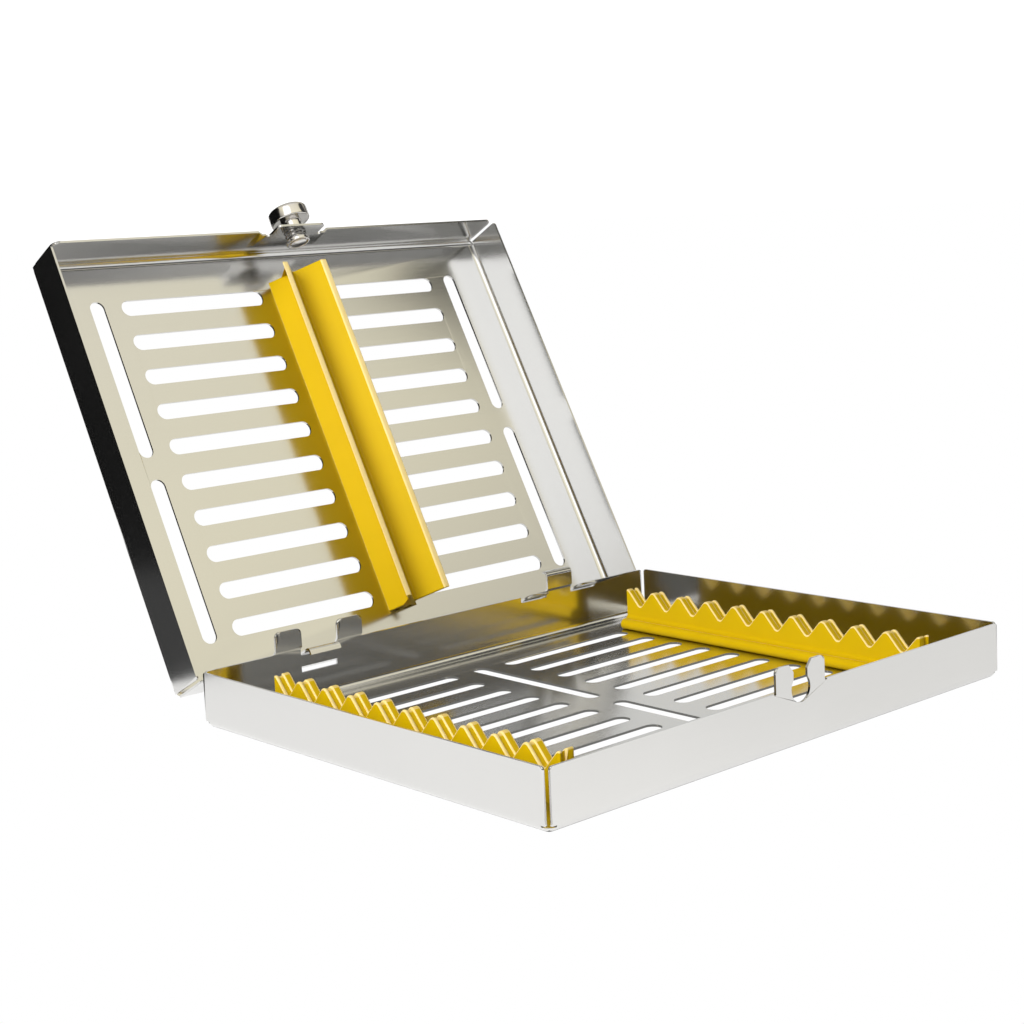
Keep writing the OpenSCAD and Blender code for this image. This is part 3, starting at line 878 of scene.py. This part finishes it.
class CASSETTE_OT_latch(bpy.types.Operator):
    """Turn the latch's knob, pin and washer"""

    bl_idname = "cassette.latch"
    bl_label = "Latch"

    def execute(self, context):
        steel = one_of(turned_steel)
        radius, height, edge, chamfer = 6.69 * MM, 4.8 * MM, 1.4 * MM, 0.5 * MM
        collar, collar_long, bore = 3.5 * MM, 3.4 * MM, 2.22 * MM
        bore_deep, pin_deep = 3.2 * MM, 3.18 * MM
        soft, pin_soft, washer_soft, lip_soft = 0.25 * MM, 0.2 * MM, 0.2 * MM, 0.15 * MM
        knob = [(0, height), (radius * 0.45, height)]
        knob += arc((radius - edge, height - edge), edge, pi / 2, 0, 10)
        knob += arc((radius - chamfer, chamfer), chamfer, 0, -pi / 2, 5)
        knob += arc((collar + soft, -soft), soft, pi / 2, pi, 4)
        knob += arc((collar - soft, -collar_long + soft), soft, 0, -pi / 2, 4)
        knob += [(bore, -collar_long), (bore, bore_deep), (0, bore_deep)]
        pin_r, head, head_t = 2.2 * MM, 2.8 * MM, 0.4 * MM
        tip = WASHER_BACK - KNOB_FOOT + pin_deep
        pin = [(0, tip), (pin_r - pin_soft, tip), (pin_r, tip - pin_soft), (pin_r, 0), (head, 0)]
        pin += arc((head - lip_soft, -head_t + lip_soft), lip_soft, 0, -pi / 2, 4)
        pin += [(0, -head_t)]
        outer, lip, lip_h = 4 * MM, 0.6 * MM, 0.4 * MM
        shoulder = outer - washer_soft
        washer = [(bore, WASHER_THICK)]
        washer += arc((shoulder, WASHER_THICK - washer_soft), washer_soft, pi / 2, 0, 4)
        washer += arc((shoulder, -lip_h + washer_soft), washer_soft, 0, -pi / 2, 4)
        washer += arc((outer - lip + lip_soft, -lip_h + lip_soft), lip_soft, -pi / 2, -pi, 4)
        washer += [(outer - lip, 0), (bore, 0)]
        for node, profile, depth in (
            ("latch_knob", knob, KNOB_FOOT),
            ("latch_pin", pin, WASHER_BACK),
            ("latch_washer", washer, WASHER_BACK),
        ):
            obj = object_from(lathed(profile), node + "_turned", on_pin(depth), steel)
            settle(obj, "latch", "fittings", node)
        return {"FINISHED"}


class CASSETTE_OT_spring(bpy.types.Operator):
    """Wind the latch's spring between the lid's tongue and the washer"""

    bl_idname = "cassette.spring"
    bl_label = "Spring"

    def execute(self, context):
        latch = context.scene.cassette.latch
        seat_gap = 0.05 * MM
        tree = coil_tree()
        carrier = object_from(bmesh.new(), "spring_path")
        values = {
            "Turns": latch.turns,
            "Wide": latch.wide,
            "Narrow": latch.narrow,
            "Height": SPRING_ROOM - latch.wire - 2 * seat_gap,
            "Wire": latch.wire,
            "Material": one_of(spring_wire),
        }
        mesh, material = tree.bake(carrier, values)
        bpy.data.objects.remove(carrier)
        lift = Matrix.Translation((0, 0, latch.wire / 2 + seat_gap))
        place = on_pin(TONGUE_IN) @ Matrix.Diagonal((1, 1, -1, 1)) @ lift
        obj = object_from(mesh, "latch_spring_wire", place, material)
        settle(obj, "lid", "spring_steel", "latch_spring")
        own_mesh(obj)
        return {"FINISHED"}


def card(name, centre, facing, size, tint, strength=1):
    """A flat card that only reflections see: it lights the steel, or darkens it."""
    mesh = bmesh.new()
    bmesh.ops.create_grid(mesh, x_segments=1, y_segments=1, size=0.5)
    data = bpy.data.meshes.new(name)
    mesh.to_mesh(data)
    mesh.free()
    obj = bpy.data.objects.new(name, data)
    bpy.context.scene.collection.objects.link(obj)
    turn = Vector(facing).to_track_quat("Z", "Y").to_matrix().to_4x4()
    obj.matrix_world = Matrix.Translation(centre) @ turn @ Matrix.Diagonal((*size, 1, 1))
    material = bpy.data.materials.new(name)
    nodes = Nodes(material)
    light = nodes.add("ShaderNodeEmission", {}, {"Color": (*tint, 1), "Strength": strength}).out()
    nodes.add("ShaderNodeOutputMaterial", {}, {"Surface": light})
    data.materials.append(material)
    obj.visible_camera = False
    obj.visible_diffuse = False
    obj.visible_shadow = False


def softbox(name, place, aim, size, power, tint):
    """A soft area light that neither the camera nor reflections see."""
    data = bpy.data.lights.new(name, "AREA")
    data.shape = "RECTANGLE"
    data.size, data.size_y = size
    data.energy = power
    data.color = tint
    obj = bpy.data.objects.new(name, data)
    bpy.context.scene.collection.objects.link(obj)
    obj.location = place
    obj.rotation_euler = (Vector(aim) - Vector(place)).to_track_quat("-Z", "Y").to_euler()
    obj.visible_camera = False
    obj.visible_glossy = False


def room_light(strength):
    """Warm light from above that fades to a dim room near the horizon.

    It lights matt surfaces less, so that their shadows stay deep, and the camera sees plain white.
    """
    world = bpy.data.worlds.new("room")
    bpy.context.scene.world = world
    nodes = Nodes(world)
    way = nodes.add("ShaderNodeTexCoord").out("Generated")
    axes = nodes.add("ShaderNodeSeparateXYZ", {}, {0: way})
    stops = [
        (0.0, 0.03),
        (0.25, 0.06),
        (0.42, (0.6, 0.57, 0.5)),
        (0.58, (1.0, 0.94, 0.72)),
        (1.0, (0.9, 0.88, 0.84)),
    ]
    sky = nodes.add("ShaderNodeValToRGB", {"stops": stops}, {"Fac": axes.level("Z")}).out("Color")
    facing = 0.85 - axes.level("Y") * 0.45 - axes.level("X") * 0.15
    path = nodes.add("ShaderNodeLightPath")
    fill = 1 - path.level("Is Diffuse Ray") * 0.68
    seen = nodes.add("ShaderNodeBackground", {}, {"Color": (1, 1, 1, 1), "Strength": 1.2}).out()
    lit = nodes.add("ShaderNodeBackground", {}, {"Color": sky, "Strength": facing * fill * strength}).out()
    mixed = nodes.add("ShaderNodeMixShader", {}, {0: path.out("Is Camera Ray"), 1: lit, 2: seen}).out()
    nodes.add("ShaderNodeOutputWorld", {}, {"Surface": mixed})


class CASSETTE_OT_stage(bpy.types.Operator):
    """Set the pale floor, the soft studio light and the camera"""

    bl_idname = "cassette.stage"
    bl_label = "Stage"

    def execute(self, context):
        stage = context.scene.cassette.stage
        context.scene.view_settings.view_transform = "Standard"
        room_light(stage.sky)
        mesh = bmesh.new()
        bmesh.ops.create_grid(mesh, x_segments=1, y_segments=1, size=30)
        floor = object_from(mesh, "floor")
        material = bpy.data.materials.new("pale_floor")
        nodes = Nodes(material)
        aside = nodes.add("ShaderNodeSeparateXYZ", {}, {0: nodes.place()}).level("X")
        # The floor glows in place of bounced room light; the glow is dimmer towards +x, a painted shade on
        # that side.
        glow = nodes.tint((aside + 0.09) * 7.5, (1, 1, 1), (0.88, 0.88, 0.88))
        inputs = {"Base Color": (*stage.floor, 1), "Emission Color": glow, "Emission Strength": stage.glow}
        lit = nodes.add("ShaderNodeBsdfPrincipled", {}, inputs).out()
        plain = nodes.add("ShaderNodeEmission", {}, {"Color": (1, 1, 1, 1), "Strength": 1.0}).out()
        seen = nodes.add("ShaderNodeLightPath").out("Is Camera Ray")
        mixed = nodes.add("ShaderNodeMixShader", {}, {0: seen, 1: lit, 2: plain}).out()
        nodes.add("ShaderNodeOutputMaterial", {}, {"Surface": mixed})
        floor.data.materials.append(material)
        softbox(
            "key", place=(-0.9, -0.3, 0.6), aim=(0, 0.05, 0.05), size=(0.8, 0.8), power=stage.key,
            tint=(1, 0.98, 0.96),
        )
        card(
            "dark_flag", centre=(-0.2, 0.30, 0.2), facing=(0.55, -0.83, 0), size=(0.5, 0.4),
            tint=(0.005, 0.005, 0.005),
        )
        card(
            "dark_mat", centre=(-0.2, 0.22, 0.001), facing=(0, 0, 1), size=(0.3, 0.2),
            tint=(0.06, 0.06, 0.06),
        )
        card(
            "shade_under", centre=(0, 0, 0.00005), facing=(0, 0, 1), size=(0.177, 0.14),
            tint=(0.22, 0.22, 0.21),
        )
        card(
            "pale_card", centre=(-0.56, -0.38, 0.72), facing=(0.6, 0.46, -0.63), size=(0.6, 0.6),
            tint=(1, 1, 1), strength=1.75,
        )
        card(
            "back_card", centre=(0.44, 0.46, 0.17), facing=(-0.7, -0.7, -0.1), size=(0.6, 0.24),
            tint=(1, 1, 0.98), strength=0.8,
        )
        card(
            "side_flag", centre=(0.46, 0, 0.43), facing=(-0.68, 0.17, -0.72), size=(0.26, 0.26),
            tint=(0.05, 0.05, 0.05),
        )
        self.place_camera(context)
        return {"FINISHED"}

    def place_camera(self, context):
        """The camera, where the photograph's own corners and edges put it."""
        data = bpy.data.cameras.new("photo_camera")
        data.sensor_width = 36
        data.lens = 64.477
        data.shift_x = 0.0098
        data.shift_y = -0.0656
        data.clip_start = 0.01
        camera = bpy.data.objects.new("photo_camera", data)
        context.scene.collection.objects.link(camera)
        yaw, pitch, roll = radians(41.4541), radians(7.0737), radians(-2.843)
        turn = Euler((pi / 2 - pitch, 0, -yaw)).to_matrix().to_4x4() @ Matrix.Rotation(roll, 4, "Z")
        place = Matrix.Translation((-0.3596, -0.36731, 0.13936))
        camera.matrix_world = place @ turn
        context.scene.camera = camera


PIECES = (CASSETTE_OT_trays, CASSETTE_OT_rails, CASSETTE_OT_lid_bar, CASSETTE_OT_latch, CASSETTE_OT_spring)
GROUPS = (
    SteelSettings, SiliconeSettings, RailSettings, BarSettings, LatchSettings, StageSettings, CassetteSettings
)


class CASSETTE_PT_panel(bpy.types.Panel):
    """Lists the cassette's pieces and their sizes and colours"""

    bl_idname = "CASSETTE_PT_panel"
    bl_label = "Instrument cassette"
    bl_space_type = "VIEW_3D"
    bl_region_type = "UI"
    bl_category = "Cassette"

    def draw(self, context):
        layout = self.layout
        for piece in (*PIECES, CASSETTE_OT_stage):
            layout.operator(piece.bl_idname)
        cassette = context.scene.cassette
        for group in ("steel", "silicone", "rail", "bar", "latch", "stage"):
            box = layout.box()
            box.label(text=group.capitalize())
            settings = getattr(cassette, group)
            for name in settings.__annotations__:
                box.prop(settings, name)


CLASSES = (*GROUPS, *PIECES, CASSETTE_OT_stage, CASSETTE_PT_panel)


def register():
    for one in CLASSES:
        bpy.utils.register_class(one)
    bpy.types.Scene.cassette = PointerProperty(type=CassetteSettings)


def unregister():
    del bpy.types.Scene.cassette
    for one in reversed(CLASSES):
        bpy.utils.unregister_class(one)


def corners(bounds):
    """A box as plain lists of numbers."""
    return [[float(v) for v in corner] for corner in bounds]


def main():
    """Makes the whole scene."""
    register()
    bpy.ops.cassette.stage()
    bpy.ops.cassette.trays()
    bpy.ops.cassette.rails()
    bpy.ops.cassette.lid_bar()
    bpy.ops.cassette.latch()
    bpy.ops.cassette.spring()


if __name__ == "__main__":
    main()
